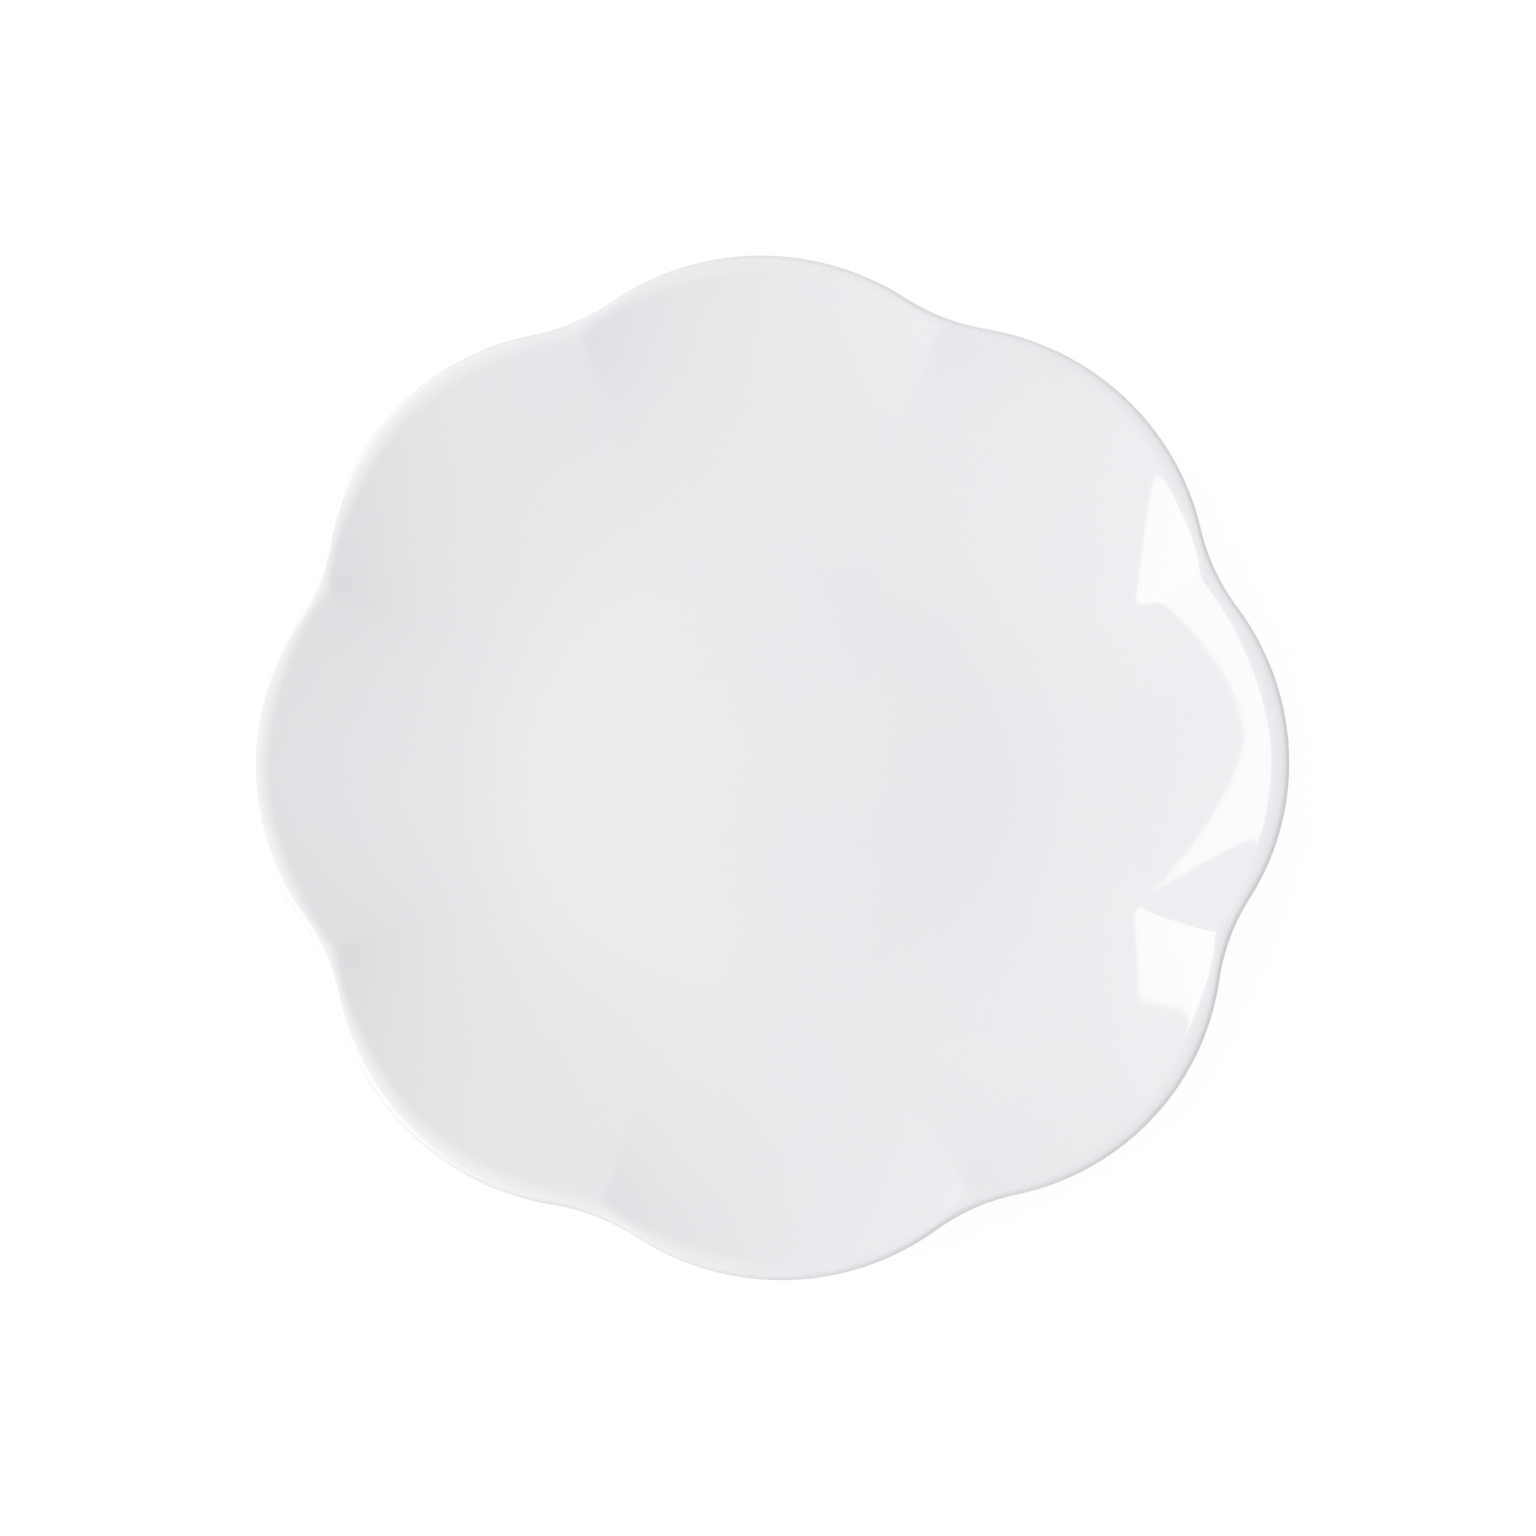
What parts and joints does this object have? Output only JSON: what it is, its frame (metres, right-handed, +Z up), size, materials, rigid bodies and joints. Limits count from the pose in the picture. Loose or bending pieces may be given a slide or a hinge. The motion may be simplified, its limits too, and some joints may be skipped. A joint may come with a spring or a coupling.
{
  "type": "petal dessert plate",
  "caption": "Glazed white porcelain dessert plate with a scalloped petal rim, a flat round well and soft radial ridges, standing on a bare foot ring.",
  "frame": {"origin": "on the plate's axis, in the plane that the foot ring's tread stands on", "axes": "+Z up along the plate's axis, out of the well; +X through the tip of one petal"},
  "size_m": [0.19, 0.19, 0.0212],
  "materials": {
    "bare_porcelain": "unglazed, fine and matt",
    "white_glaze": "glossy"
  },
  "bodies": {
    "root": {"porcelain_body": "bare_porcelain", "face_glaze": "white_glaze", "base_glaze": "white_glaze"}
  },
  "joints": []
}
